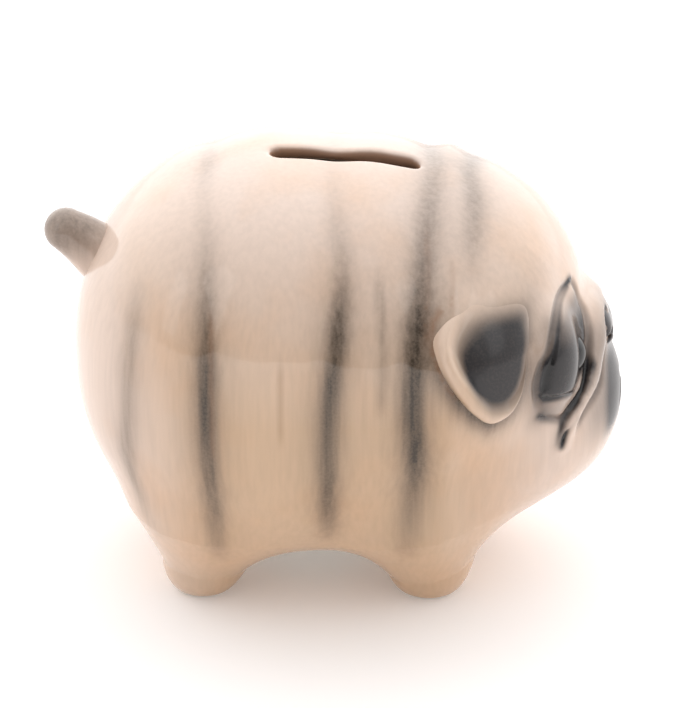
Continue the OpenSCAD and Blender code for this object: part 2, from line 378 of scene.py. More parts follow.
def surface_nets(height, xs, ys, zs):
    """Points and quads over height's zero on a grid, quads facing out."""
    grid = np.stack(np.meshgrid(xs, ys, zs, indexing="ij"), -1)
    value = height(grid)
    clay = value < 0
    shape = np.array(clay.shape) - 1
    corners = [(i, j, k) for i in (0, 1) for j in (0, 1) for k in (0, 1)]
    count = sum(clay[i:i + shape[0], j:j + shape[1], k:k + shape[2]].astype(np.int8) for i, j, k in corners)
    cells = np.argwhere((count > 0) & (count < 8))
    number = -np.ones(count.shape, np.int64)
    number[tuple(cells.T)] = np.arange(len(cells))
    points, hits = np.zeros((len(cells), 3)), np.zeros(len(cells))
    for axis in range(3):
        for corner in corners:
            if corner[axis]:
                continue
            a = cells + corner
            b = a.copy()
            b[:, axis] += 1
            va, vb = value[tuple(a.T)], value[tuple(b.T)]
            cut = (va < 0) != (vb < 0)
            t = np.where(cut, va / np.where(cut, va - vb, 1), 0)
            pa, pb = grid[tuple(a.T)], grid[tuple(b.T)]
            points += cut[:, None] * (pa + t[:, None] * (pb - pa))
            hits += cut
    points /= hits[:, None]
    quads = []
    for axis in range(3):
        u, v = (axis + 1) % 3, (axis + 2) % 3
        low, high = [slice(1, -1)] * 3, [slice(1, -1)] * 3
        low[axis], high[axis] = slice(0, -1), slice(1, None)
        edges = np.argwhere(clay[tuple(low)] != clay[tuple(high)])
        shift = np.ones(3, int)
        shift[axis] = 0
        at = edges + shift
        ring = []
        for du, dv in ((1, 1), (0, 1), (0, 0), (1, 0)):
            c = at.copy()
            c[:, u] -= du
            c[:, v] -= dv
            ring.append(number[tuple(c.T)])
        quad = np.stack(ring, 1)
        outward = clay[tuple(at.T)]
        quad[~outward] = quad[~outward][:, ::-1]
        quads.append(quad)
    return points, np.concatenate(quads)


def slope(height, p, step):
    """The direction in which the height grows fastest, by small steps."""
    parts = []
    for axis in range(3):
        nudge = np.zeros(3)
        nudge[axis] = step
        parts.append(height(p + nudge) - height(p - nudge))
    return np.stack(parts, -1) / (2 * step)


def onto_skin(height, p, rounds=3, step=0.08):
    """Points pushed onto the zero of height."""
    for _ in range(rounds):
        g = slope(height, p, step)
        move = height(p) / np.maximum((g ** 2).sum(-1), 0.25)
        p = p - np.clip(move, -1.2, 1.2)[:, None] * g
    return p


trial = surface_nets(lambda p: ball(p, (0, 0, 0), (5, 5, 5)), *[ticks((-6, 1), (6, 1))] * 3)
print("a trial ball of 5 mm takes", len(trial[1]), "quads")

# %% [markdown]
# Meshes are turned into objects with their point normals taken from the height's own slope,
# so the glaze's reflections run as smoothly as over the real skin, whatever the quads do.

# %% Meshes and splits
def make_piece(name, points_mm, faces):
    """A new object from points in millimetres, with smooth faces."""
    mesh = bpy.data.meshes.new(name)
    mesh.from_pydata((np.asarray(points_mm) * MM).tolist(), [], [list(map(int, f)) for f in faces])
    mesh.update()
    mesh.shade_smooth()
    piece = bpy.data.objects.new(name, mesh)
    bpy.context.scene.collection.objects.link(piece)
    return piece


def mesh_points(piece):
    """A piece's points in millimetres."""
    flat = np.empty(len(piece.data.vertices) * 3)
    piece.data.vertices.foreach_get("co", flat)
    return flat.reshape(-1, 3) / MM


def set_points(piece, points_mm):
    piece.data.vertices.foreach_set("co", (points_mm * MM).ravel())
    piece.data.update()


def set_normals(piece, normals):
    """Point normals in place of the ones worked out from the faces."""
    unit = normals / np.maximum(np.linalg.norm(normals, axis=1, keepdims=True), 1e-9)
    piece.data.normals_split_custom_set_from_vertices(unit.tolist())


def split_where(piece, chosen):
    """Splits every quad whose edges are all chosen into four, and eases the border."""
    pick = chosen(mesh_points(piece))
    grid = bmesh.new()
    grid.from_mesh(piece.data)
    grid.verts.ensure_lookup_table()
    edges = [e for e in grid.edges if pick[e.verts[0].index] and pick[e.verts[1].index]]
    bmesh.ops.subdivide_edges(grid, edges=edges, cuts=1, use_grid_fill=True)
    bmesh.ops.triangulate(grid, faces=[f for f in grid.faces if len(f.verts) > 4])
    grid.to_mesh(piece.data)
    grid.free()
    piece.data.shade_smooth()


def paint(piece, name, values):
    """Stores one number per point for a material to read."""
    layer = piece.data.attributes.new(name, "FLOAT", "POINT")
    layer.data.foreach_set("value", np.clip(values, 0, 1).astype(np.float32))


# %% Draw the casting
COARSE = 1.4
xs = ticks((-79, COARSE), (88, COARSE))
ys = ticks((-60, COARSE), (-6, COARSE * 0.7), (6, COARSE), (60, COARSE))
zs = ticks((-1.6, COARSE * 0.8), (20, COARSE), (114, COARSE * 0.6), (133, COARSE))
points, quads = surface_nets(lambda p: casting(p, fine=False), xs, ys, zs)
casting_piece = make_piece("casting", points, quads)
set_points(casting_piece, onto_skin(casting, mesh_points(casting_piece), rounds=2))
print("casting:", len(points), "points,", len(quads), "quads")


def on_face(p):
    q = half(p)
    return (p[:, 0] > 54) & (q[:, 1] < 44) & (p[:, 2] > 46) & (p[:, 2] < 101) & (plain_body(p) > -3.2)


def on_edges(p):
    rim = np.abs(np.hypot(p[:, 0] - HOLE_X, p[:, 1]) - HOLE_R) < 1.5
    recess = (np.abs(np.hypot(p[:, 0] - HOLE_X, p[:, 1]) - RECESS_R) < 1.5) & (p[:, 2] < 14)
    return (np.abs(slot(p)) < 2.2) | ((rim | recess) & (p[:, 2] < 20))


def on_creases(p):
    q = half(p)
    near = np.full(len(p), False)
    front = (p[:, 0] > 54) & (plain_body(p) > -3)
    f = q[front]
    close = np.abs(lid_rim(f, 1.2)) < 1.6
    for line, deep, wide, start, end, *_ in CREASES:
        close |= off_path(f, line)[0] < 2.2
    near[front] = close
    return near


split_where(casting_piece, lambda p: on_face(p) | on_edges(p))
set_points(casting_piece, onto_skin(casting, mesh_points(casting_piece), rounds=2))
split_where(casting_piece, on_creases)
set_points(casting_piece, onto_skin(casting, mesh_points(casting_piece), rounds=2))
skin_points = mesh_points(casting_piece)
skin_slope = slope(casting, skin_points, 0.12)
print("casting after splits:", len(skin_points), "points; off the skin by",
      round(float(np.abs(casting(skin_points)).mean()), 3), "mm on average")

# %% [markdown]
# The inside of the casting is only seen through the slot and the hole, so its quads are
# thinned. A Decimate modifier does it, held to the inside by a vertex group.

# %% Thin out the inside
def thin_inside(piece, inside, share):
    """Collapses the chosen points' faces to a share of their number."""
    group = piece.vertex_groups.new(name="inside")
    group.add([int(i) for i in np.flatnonzero(inside)], 1.0, "REPLACE")
    thin = piece.modifiers.new("thin", "DECIMATE")
    thin.ratio = 1 - (1 - share) * inside.mean()
    thin.vertex_group = "inside"
    mesh = bpy.data.meshes.new_from_object(piece.evaluated_get(bpy.context.evaluated_depsgraph_get()))
    piece.modifiers.clear()
    piece.vertex_groups.clear()
    piece.data = mesh


def deep_inside(p):
    """Where nobody looks: inside, away from the slot and the hole."""
    near_hole = (p[:, 2] < 24) & (np.hypot(p[:, 0] - HOLE_X, p[:, 1]) < 27)
    return (plain_body(p) < -3.4) & (np.abs(slot(p)) > 2.5) & ~near_hole


thin_inside(casting_piece, deep_inside(skin_points), 0.15)
skin_points = mesh_points(casting_piece)
skin_slope = slope(casting, skin_points, 0.12)
skin_triangles = sum(len(f.vertices) - 2 for f in casting_piece.data.polygons)
print("casting after thinning:", len(skin_points), "points,", skin_triangles, "triangles")

# %% [markdown]
# ## Where the airbrush and the painted shade go
#
# Every point of the casting gets four numbers that the glaze reads later: how much grey-brown
# slip is sprayed there, with painted shade round the ears added in; how much black slip, with
# painted shade in the face's creases and hollows added in and the lids' tops left paler as a
# painted highlight; where the glaze runs thin and warm on edges and in seams (warm); and where
# the clay has no glaze at all (bare). Keeping them as point values, and not as an image, means
# that the pattern stays on the folds.

# %% Spray and painted shade on the casting
def ramp(value, start, end):
    """0 at start, 1 at end, eased between them."""
    t = np.clip((value - start) / (end - start), 0, 1)
    return t * t * (3 - 2 * t)


def layered(*coats):
    """Coats of slip over each other: none of them can pass full cover."""
    clear = 1.0
    for coat in coats:
        clear = clear * (1 - np.clip(coat, 0, 1))
    return 1 - clear


def bell(distance, width):
    return np.exp(-(distance / width) ** 2)


EAR = (43.5, 88.0)
# The ear's outline: angle from the muzzle's side, and the distance from the ear's middle there
EAR_OUTLINE = ([0, 33, 50, 80, 117, 133, 148, 168, 202, 239, 255, 271, 284, 305, 324, 345, 360],
               [10.8, 14.3, 18.5, 19.5, 19.8, 19.2, 17.8, 14.4, 11.6,
                12.6, 14.6, 17.4, 17.0, 14.2, 12.0, 10.9, 10.8])


def ear_polar(x, z):
    """Share of the ear's outline that a place is at, and its angle."""
    angle = np.degrees(np.arctan2(z - EAR[1], x - EAR[0])) % 360
    return np.hypot(x - EAR[0], z - EAR[1]) / smooth_steps(angle, *EAR_OUTLINE), angle


# Angles round the ear, where its rim starts at each, how softly its dark dish ends, and
# how far up the rim's inner side the dark goes
AROUND = [0, 30, 60, 90, 113, 134, 168, 202, 240, 270, 296, 325, 360]
RIM_START = [0.93, 0.93, 0.80, 0.72, 0.64, 0.58, 0.55, 0.50, 0.50, 0.55, 0.80, 0.90, 0.93]
DISH_FADE = [0.20, 0.22, 0.30, 0.32, 0.30, 0.22, 0.15, 0.14, 0.16, 0.18, 0.16, 0.18, 0.20]
DISH_OUT = [0.03, 0.03, 0.0, 0.0, 0.0, 0.0, 0.03, 0.10, 0.14, 0.14, 0.04, 0.03, 0.03]


def ear_slip_and_shade(share, angle, z):
    """Black slip in the ear's dish, fading out at the top and towards the eye, with painted shade in the
    groove at its lower back.
    """
    start = smooth_steps(angle, AROUND, RIM_START)
    fade = smooth_steps(angle, AROUND, DISH_FADE)
    start = start + smooth_steps(angle, AROUND, DISH_OUT)
    dish = ramp(share, start + fade, start - fade) * ramp(z, 107, 97)
    # Painted shade deepens the dish in its groove at the lower back
    return dish * (0.85 + 0.15 * bell(angle - 218, 30) * bell(share - 0.55, 0.12))


# How dark the shade round the ear is at each angle
EAR_SHADE = ([0, 60, 110, 150, 200, 250, 290, 330, 360],
             [0.55, 0.15, 0.05, 0.4, 0.75, 0.9, 0.9, 0.75, 0.55])


def stripe_and_shade_coat(p):
    """Grey-brown slip stripes over the back, and painted shade round the ears, darkest below and behind
    their rims.
    """
    q = half(p)
    angle = round_angle(q)
    coats = []
    for angles, places, dark, wide in STRIPES.values():
        d = off_line(q, angles, places)
        amount = np.minimum(1.22 * smooth_steps(angle, angles, dark), 0.97)
        amount = amount * ramp(angle, angles[0] - 8, angles[0] + 6)
        coats += [amount * bell(d, wide), 0.36 * amount * bell(d, wide * 2.6)]
    thin_line = bell(q[:, 0] - 13.3 - 1.2 * np.sin(angle / 14), 1.4)
    thin_line = thin_line * ramp(angle, 2, 12) * ramp(angle, 52, 36)
    share, around = ear_polar(q[:, 0], q[:, 2])
    side = (q[:, 1] > 22) * (q[:, 0] > 10)
    # Painted shade on the head round the ear: darkest below and behind the rim, faint above it
    shade = side * smooth_steps(around, *EAR_SHADE) * bell(np.maximum(share - 0.97, 0), 0.34)
    return layered(*coats, 0.35 * thin_line, shade)


# Heights, and where the dark of the lids starts along X and ends across Y at each
LID_EDGE = ([64, 71.7, 77.6, 82.9, 86.6, 91.8, 95.3, 97],
            [59.1, 58.3, 58, 59.3, 61.3, 62.5, 63.4, 66])
CHEEK_EDGE = ([63.5, 66.7, 71.7, 76.8, 82.4, 87, 90.5, 97],
              [33.5, 26.8, 21, 19.2, 16.4, 13.4, 13.8, 15])


def face_black_and_shade(p):
    """Black slip on the lids, the creases round the roll and the front of the muzzle, with painted shade in
    the creases and beside the lids, and the lids' tops left paler as a painted highlight.
    """
    q = half(p)
    x, y, z = q[:, 0], q[:, 1], q[:, 2]
    front = (x > 52) & (plain_body(p) > -3)
    lid_x = smooth_steps(z, *LID_EDGE)
    cheek_y = smooth_steps(z, *CHEEK_EDGE)
    lids = ramp(y, cheek_y - 0.6, cheek_y + 1.0) * ramp(x, lid_x - 0.6, lid_x + 1.4) * ramp(z, 97, 91)
    lids *= 0.45 * ramp(z, 62.5, 66) + 0.55 * ramp(z, 69.5, 73)
    # Painted shade in the hollow beside the lid's back crease
    painted_hollow_shade = 0.4 * bell(off_path(q, LID_CREASE[3:])[0], 4.5)
    muzzle = ramp(x, 77.2, 80.6) * ramp(z, 46, 53) * ramp(z, 76, 68)
    halo = 0.5 * ramp(x, 68, 79) * ramp(z, 42, 60) * ramp(z, 92, 77)
    # The lids' black thins towards their top: a painted highlight where the gloss catches the light
    coats = [0.85 * lids * (0.7 + 0.3 * ramp(z, 94, 84)), painted_hollow_shade, 0.85 * muzzle, halo]
    # Each crease is darkened along its line: sprayed slip together with painted shade in the fold
    for line, *_, dark, wide in CREASES:
        d, t = off_path(q, line)
        coats.append(dark * bell(d, wide) * ramp(1 - t, 0, 0.2))
    share, around = ear_polar(x, z)
    dish = ear_slip_and_shade(share, around, z) * (y > 22) * (share < 1.2)
    return layered(np.where(front, layered(*coats), 0), dish)


# Short runs where the glaze has broken to a warm brown line: place along X and two heights
WARM_LINES = ((26.4, 118, 92), (-13.5, 90, 66), (33.5, 112, 101), (-33, 102, 60))


def warm_coat(p):
    """Thin, warm glaze: the slot's walls, short seams, and the ear's edge."""
    q = half(p)
    outside = plain_body(p) > -3.2
    seams = [0.3 * bell(q[:, 0] - x, 0.7)
             * ramp(q[:, 2], top + 4, top - 4) * ramp(q[:, 2], low - 4, low + 4)
             for x, top, low in WARM_LINES]
    walls = ramp(-slot(p), -0.9, -0.1) * (p[:, 2] > 100)
    share, around = ear_polar(q[:, 0], q[:, 2])
    edge = 0.5 * bell(share - 1.03, 0.05) * (np.abs(around - 180) < 50) * (q[:, 1] > 22)
    return np.where(outside, layered(*seams, edge), 0.0), walls


seams, walls = warm_coat(skin_points)
inner = plain_body(skin_points) < -WALL + 0.9
from_hole = np.hypot(skin_points[:, 0] - HOLE_X, skin_points[:, 1])
hole_edge = (np.abs(from_hole - HOLE_R) < 1.2) & (skin_points[:, 2] < 20)
paint(casting_piece, "stripe", stripe_and_shade_coat(skin_points) * ~inner)
paint(casting_piece, "smoke", face_black_and_shade(skin_points))
paint(casting_piece, "warm", layered(seams, 0.8 * walls))
paint(casting_piece, "bare", layered(ramp(skin_points[:, 2], 0.9, 0.3), inner * 1.0, hole_edge * 1.0))
set_normals(casting_piece, skin_slope)
casting_piece.name = "body_casting"
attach(casting_piece, "bank")
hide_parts("body_shell")
print("points with more than half cover of black:", int((face_black_and_shade(skin_points) > 0.5).sum()))

# %% [markdown]
# ## The ears
#
# Each ear is a flap of clay pressed onto the side of the head: a thick rounded rim at the back
# and below, a thin edge towards the eye, a dark dished middle, and no edge at the top, where
# it is smoothed into the head. It is drawn as rings round the ear's middle: each point lies
# on the head's side, raised along the head's own slope by the flap's height there.

# %% Ear flaps
EAR_RINGS = np.concatenate([np.linspace(0.04, 0.5, 8), np.linspace(0.53, 0.97, 30), [0.985, 0.995, 1.0]])
EAR_SPOKES = 120
RIM_HEIGHT = [1.7, 1.1, 0.5, 0.4, 0.9, 2.6, 4.4, 4.7, 4.7, 4.4, 3.4, 2.3, 1.7]
DISH_HEIGHT = [1.7, 1.2, 0.7, 0.5, 0.6, 1.2, 1.9, 2.1, 2.2, 2.2, 1.9, 1.7, 1.7]
SINK = [0.6, 1.0, 1.6, 2.0, 2.4, 2.2, 0.4, 0.0, 0.0, 0.0, 0.0, 0.2, 0.6]
# How upright the flap's outer edge stands: 1 is a round edge, 0 runs out flat into the head
EDGE_STAND = [0.7, 0.4, 0.0, 0.0, 0.0, 0.1, 0.7, 1.0, 1.0, 1.0, 1.0, 0.9, 0.7]
MIDDLE_HEIGHT = 1.9


def side_of_head(x, z):
    """The casting's side at a place seen from the side, and its slope, on the left."""
    near, away = np.full(x.shape, 5.0), np.full(x.shape, 75.0)
    for _ in range(30):
        mid = (near + away) / 2
        clay = plain_body(np.stack([x, mid, z], -1)) < 0
        near, away = np.where(clay, mid, near), np.where(clay, away, mid)
    p = np.stack([x, near, z], -1)
    out = slope(plain_body, p, 0.5)
    return p, out / np.linalg.norm(out, axis=-1, keepdims=True)


def flap_height(share, angle):
    """Height of the flap over the head: dish inside, then the rim and its round outer edge."""
    start = smooth_steps(angle, AROUND, RIM_START)
    rim = smooth_steps(angle, AROUND, RIM_HEIGHT)
    dish = smooth_steps(angle, AROUND, DISH_HEIGHT)
    middle = MIDDLE_HEIGHT + (dish - MIDDLE_HEIGHT) * np.clip(share / start, 0, 1) ** 1.7
    u = np.clip((share - start) / (1 - start), 0, 1)
    crest = 0.5
    rise = dish + (rim - dish) * ramp(u, 0, crest)
    down = np.clip((u - crest) / (1 - crest), 0, 1)
    stand = smooth_steps(angle, AROUND, EDGE_STAND)
    fall = rim * (stand * np.sqrt(np.maximum(1 - down ** 2.4, 0)) + (1 - stand) * ramp(down, 1, 0))
    flap = np.where(share < start, middle, np.where(u < crest, rise, fall))
    return flap - smooth_steps(angle, AROUND, SINK) * share ** 3


def make_ear(name, node, side):
    turns = np.arange(EAR_SPOKES) * 360 / EAR_SPOKES
    share, angle = np.meshgrid(EAR_RINGS, turns, indexing="ij")
    back_share = np.array([0.97, 0.5])[:, None] * np.ones(EAR_SPOKES)
    share = np.concatenate([share, back_share])
    angle = np.concatenate([angle, np.tile(turns, (2, 1))])
    r = share * smooth_steps(angle, *EAR_OUTLINE)
    x, z = EAR[0] + r * np.cos(np.radians(angle)), EAR[1] + r * np.sin(np.radians(angle))
    height = flap_height(share, angle)
    height[-2:] = -1.5
    p, out = side_of_head(x, z)
    p = p + out * height[..., None]
    m, n = share.shape
    flat = p.reshape(-1, 3)
    caps = np.array([p[0].mean(0), p[-1].mean(0)])
    flat = np.concatenate([flat, caps])
    faces = [(j * n + i, j * n + (i + 1) % n, (j + 1) * n + (i + 1) % n, (j + 1) * n + i)
             for j in range(m - 1) for i in range(n)]
    faces += [((i + 1) % n, i, m * n) for i in range(n)]
    faces += [((m - 1) * n + i, (m - 1) * n + (i + 1) % n, m * n + 1) for i in range(n)]
    flat[:, 1] *= side
    piece = make_piece(name, flat, faces)
    shell = bmesh.new()
    shell.from_mesh(piece.data)
    bmesh.ops.recalc_face_normals(shell, faces=shell.faces)
    shell.to_mesh(piece.data)
    shell.free()

    def ends(value, last):
        """A value for every point of the flap, with its two middle points at the end."""
        return np.concatenate([value.ravel(), [value[0].mean(), last]])

    piece.data.shade_smooth()
    # Painted shade on the outer edge of the rim, all round but the top, where the flap meets the head; it
    # goes into the grey-brown coat
    rim_shade = 0.5 * ramp(share, 0.86, 1.0) * ramp(np.abs((angle - 285) % 360 - 180), 60, 90)
    paint(piece, "stripe", ends(rim_shade, 0))
    paint(piece, "smoke", ends(ear_slip_and_shade(share, angle, z), 0))
    paint(piece, "warm", ends(0.16 * bell(share - 0.93, 0.05) * (np.abs(angle - 180) < 60), 0))
    paint(piece, "bare", ends(0 * share, 0))
    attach(piece, "bank")
    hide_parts(node)
    print(name, "reaches", round(float(np.abs(flat[:, 1]).max()), 1), "mm from the mirror plane")
    return piece


right_ear = make_ear("ear_flap_right", "right_ear", -1)
left_ear = make_ear("ear_flap_left", "left_ear", 1)

# %% [markdown]
# ## Eyes and nose
#
# The eyes are balls of clay set in the sockets, with a slight bulge where the gaze goes. The
# nose is a pad with two nostrils and a groove down the middle. Both are drawn with the same
# nets as the casting, on a grid of their own.

# %% Eyeballs
def eyeball(p):
    gaze = GAZE / np.linalg.norm(GAZE)
    front = ball(p, np.array(EYE) + gaze * 2.4, (6.1, 6.1, 6.1))
    return join(ball(p, EYE, (EYE_R,) * 3), front, 3)


def nets_piece(name, height, low, high, step, mirrored=False):
    """A closed piece drawn with nets over a box, with normals from its height."""
    lines = [ticks((a, step), (b, step)) for a, b in zip(low, high)]
    points, quads = surface_nets(height, *lines)
    points = onto_skin(height, points, rounds=3)
    normals = slope(height, points, 0.1)
    if mirrored:
        points, normals = points * (1, -1, 1), normals * (1, -1, 1)
        quads = quads[:, ::-1]
    piece = make_piece(name, points, quads)
    set_normals(piece, normals)
    return piece


FINE = 0.5
EYE_LOW, EYE_HIGH = np.array(EYE) - 10, np.array(EYE) + 10
left_eye = nets_piece("eyeball_left", eyeball, EYE_LOW, EYE_HIGH, FINE)
right_eye = nets_piece("eyeball_right", eyeball, EYE_LOW, EYE_HIGH, FINE, mirrored=True)
for piece, node in ((left_eye, "left_eye"), (right_eye, "right_eye")):
    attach(piece, "bank")
    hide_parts(node)
print("an eyeball has", len(left_eye.data.vertices), "points")


# %% Nose pad
# The pad's top is pressed flat: a place (x, z) on the flat, and its slope
NOSE_FLAT, NOSE_SLOPE = (80.5, 77.5), math.radians(20)
NOSTRIL = [(83, 2.2, 73.4), (80.4, 3.4, 74.4), (79.2, 6.0, 75.2), (79.2, 8.4, 74)]


def nose_pad(p):
    """Two lobes, the groove between them, and a curled nostril in each."""
    q = half(p)
    pad = join(ball(q, (74.4, 3.6, 75), (6.9, 6.7, 6.4)), ball(q, (75.2, 0, 76), (5.6, 6, 5.2)), 4)
    d, t = off_path(q, NOSTRIL, 16)
    pad = carve(pad, d - 1.15 + 0.5 * t, 1.0)
    groove = np.hypot(q[..., 1], np.maximum(q[..., 0] - 84, 0)) + np.abs(q[..., 0] - 81.6) * 0.25
    pad = pad + 0.9 * np.exp(-(groove / 0.7) ** 2) * ramp(q[..., 2], 77.3, 72.8)
    flat = ((q[..., 0] - NOSE_FLAT[0]) * math.cos(NOSE_SLOPE)
            + (q[..., 2] - NOSE_FLAT[1]) * math.sin(NOSE_SLOPE))
    return carve(pad, -flat, 2.0)


nose = nets_piece("nose_pad", nose_pad, (66, -12, 68), (83, 12, 84), FINE)
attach(nose, "bank")
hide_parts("nose")
print("the nose pad reaches x =", round(float(mesh_points(nose)[:, 0].max()), 1), "mm")

# %% [markdown]
# ## The tail and the bung: swept and turned with Geometry Nodes
#
# The tail is a roll of clay, thick at the root and round at the tip, so it follows a rule: a
# circle swept along a curved line with a changing radius. The bung is turned, so it follows
# one too: a half-section swept round a circle. Each gets a node tree built here. The line or
# the half-section is a plain chain of points, with the radius stored on the points.

# %% A helper that adds a node
def add(tree, kind, settings=None, sockets=None):
    """Adds a node, sets its properties, and links or sets its inputs."""
    node = tree.nodes.new(kind)
    for key, value in (settings or {}).items():
        setattr(node, key, value)
    for key, value in (sockets or {}).items():
        if isinstance(value, bpy.types.NodeSocket):
            tree.links.new(value, node.inputs[key])
        else:
            node.inputs[key].default_value = value
    return node


def node_tree(name, **numbers):
    """An empty geometry tree whose named inputs are numbers, plus a material."""
    tree = bpy.data.node_groups.new(name, "GeometryNodeTree")
    tree.interface.new_socket("Geometry", in_out="INPUT", socket_type="NodeSocketGeometry")
    for key, kind in numbers.items():
        tree.interface.new_socket(key.replace("_", " "), in_out="INPUT", socket_type="NodeSocket" + kind)
    tree.interface.new_socket("Finish", in_out="INPUT", socket_type="NodeSocketMaterial")
    tree.interface.new_socket("Geometry", in_out="OUTPUT", socket_type="NodeSocketGeometry")
    return tree, tree.nodes.new("NodeGroupInput"), tree.nodes.new("NodeGroupOutput")


def chain(name, points_mm, radii_mm):
    """A chain of points with a radius on each."""
    mesh = bpy.data.meshes.new(name)
    links = [(i, i + 1) for i in range(len(points_mm) - 1)]
    mesh.from_pydata((np.array(points_mm) * MM).tolist(), links, [])
    mesh.attributes.new("radius", "FLOAT", "POINT").data.foreach_set("value", np.array(radii_mm) * MM)
    piece = bpy.data.objects.new(name, mesh)
    bpy.context.scene.collection.objects.link(piece)
    return piece


def run_tree(piece, tree, **values):
    """Runs a tree on a piece and keeps the result as its plain mesh."""
    modifier = piece.modifiers.new(tree.name, "NODES")
    modifier.node_group = tree
    for item in tree.interface.items_tree:
        key = item.name.replace(" ", "_")
        if item.in_out == "INPUT" and key in values:
            modifier[item.identifier] = values[key]
    mesh = bpy.data.meshes.new_from_object(piece.evaluated_get(bpy.context.evaluated_depsgraph_get()))
    piece.modifiers.clear()
    piece.data = mesh
    mesh.shade_smooth()
    return piece


# %% Tree for rounds swept along a line
def close_tree(tree, given, result, swept):
    """Welds the swept surface, makes it real, and gives it its material."""
    weld = add(tree, "GeometryNodeMergeByDistance",
               sockets={"Geometry": swept.outputs[0], "Distance": given.outputs["Weld"]})
    real = add(tree, "GeometryNodeRealizeInstances", sockets={"Geometry": weld.outputs[0]})
    finish = add(tree, "GeometryNodeSetMaterial",
                 sockets={"Geometry": real.outputs[0], "Material": given.outputs["Finish"]})
    tree.links.new(finish.outputs[0], result.inputs[0])


sweep, given, result = node_tree("sweep_rounds", Sides="Int", Weld="Float")
line = add(sweep, "GeometryNodeMeshToCurve", sockets={"Mesh": given.outputs["Geometry"]})
ring = add(sweep, "GeometryNodeCurvePrimitiveCircle",
           sockets={"Resolution": given.outputs["Sides"], "Radius": 1.0})
radius = add(sweep, "GeometryNodeInputNamedAttribute", {"data_type": "FLOAT"}, {"Name": "radius"})
tube = add(sweep, "GeometryNodeCurveToMesh",
           sockets={"Curve": line.outputs[0], "Profile Curve": ring.outputs[0],
                    "Scale": radius.outputs[0], "Fill Caps": True})
close_tree(sweep, given, result, tube)
print("sweep tree:", len(sweep.nodes), "nodes")

# %% Tree for turned pieces
lathe, given, result = node_tree("turn_section", Steps="Int", Core="Float", Weld="Float")
section = add(lathe, "GeometryNodeMeshToCurve", sockets={"Mesh": given.outputs["Geometry"]})
axis = add(lathe, "GeometryNodeCurvePrimitiveCircle",
           sockets={"Resolution": given.outputs["Steps"], "Radius": given.outputs["Core"]})
turned = add(lathe, "GeometryNodeCurveToMesh",
             sockets={"Curve": axis.outputs[0], "Profile Curve": section.outputs[0]})
close_tree(lathe, given, result, turned)
print("turning tree:", len(lathe.nodes), "nodes")

# %% [markdown]
# ## Glazes
#
# Earthenware glaze is a clear glass about 0.2 mm thick, so every ceramic piece is one shader:
# a matt colour from the slip below and a sharp clear reflection from the glass, with an index
# of 1.5. What changes over the surface is the slip, and painted light: the cream is painted
# paler on the top and at the two ends, where more light falls, and the dark coats carry painted
# shade. The cream is a little mottled, the sprayed stripes are broken up by streaks, because the
# slip sags before it dries, and the glass is not quite level, so reflections wobble slightly.
# The reflection is duller where black slip lies, and the bare clay under the feet and inside
# has almost none.

# %% Colour helper and glaze
def linear(hex_colour):
    """An sRGB hex colour as linear RGBA."""
    parts = [int(hex_colour[i:i + 2], 16) / 255 for i in (1, 3, 5)]
    return (*[c / 12.92 if c <= 0.04045 else ((c + 0.055) / 1.055) ** 2.4 for c in parts], 1.0)


# CREAM_LOW is the cream low on the flanks; the paler top cream is painted light, for the top and the two
# ends of the body, where more light falls
CREAM_LOW = "#D7B798"
CREAM_PAINTED_TOP_LIGHT = "#E9D3C5"
CREAM_WARM = "#E3B48A"
# SLIP_BROWN also paints the shade round the ears; SLIP_BLACK and SLIP_DEEP also paint the shade in the
# face's creases and hollows
SLIP_BROWN = "#43392F"
SLIP_BLACK, SLIP_DEEP = "#2D2A2B", "#0C0B0C"
SEAM_BROWN = "#8E6140"
BISCUIT = "#E4D6C3"
MOTTLE_MM, STREAK_MM, DRIP_MM, SPRAY_MM, RIPPLE_MM = 26.0, 1.6, 26.0, 0.7, 13.0
GLOSSY, BLACK_ROUGH, BISCUIT_ROUGH = 0.07, 0.24, 0.75


def mix_colours(tree, share, a, b):
    node = add(tree, "ShaderNodeMix", {"data_type": "RGBA", "clamp_factor": True}, {0: share})
    for index, colour in ((6, a), (7, b)):
        if isinstance(colour, bpy.types.NodeSocket):
            tree.links.new(colour, node.inputs[index])
        else:
            node.inputs[index].default_value = linear(colour)
    return node.outputs[2]


def number(tree, operation, a, b, clamp=False):
    return add(tree, "ShaderNodeMath", {"operation": operation, "use_clamp": clamp}, {0: a, 1: b}).outputs[0]


def spread(tree, value, low, high, to_low=0.0, to_high=1.0):
    """A value's range stretched to another range."""
    names = {"Value": value, "From Min": low, "From Max": high, "To Min": to_low, "To Max": to_high}
    return add(tree, "ShaderNodeMapRange", {"clamp": True}, names).outputs[0]


def noise(tree, place, size_mm, detail=2.0, stretch_mm=None):
    """Noise with lumps of a size, drawn out in height if asked."""
    up = stretch_mm or size_mm
    scale = (1 / (size_mm * MM),) * 2 + (1 / (up * MM),)
    scaled = add(tree, "ShaderNodeMapping", sockets={"Vector": place, "Scale": scale}).outputs[0]
    lumps = add(tree, "ShaderNodeTexNoise", sockets={"Vector": scaled, "Scale": 1.0, "Detail": detail})
    return lumps.outputs[0]


def blank_finish(name):
    """A new material with its tree, its shader and the place of each point."""
    finish = bpy.data.materials.new(name)
    finish.use_nodes = True
    tree = finish.node_tree
    place = add(tree, "ShaderNodeTexCoord").outputs["Object"]
    return finish, tree, tree.nodes["Principled BSDF"], place


def unlevel(tree, shader, height, distance, strength):
    """Tilts the surface a little by a noise, so that reflections wobble."""
    bump = add(tree, "ShaderNodeBump",
               sockets={"Height": height, "Distance": distance, "Strength": strength})
    tree.links.new(bump.outputs[0], shader.inputs["Normal"])


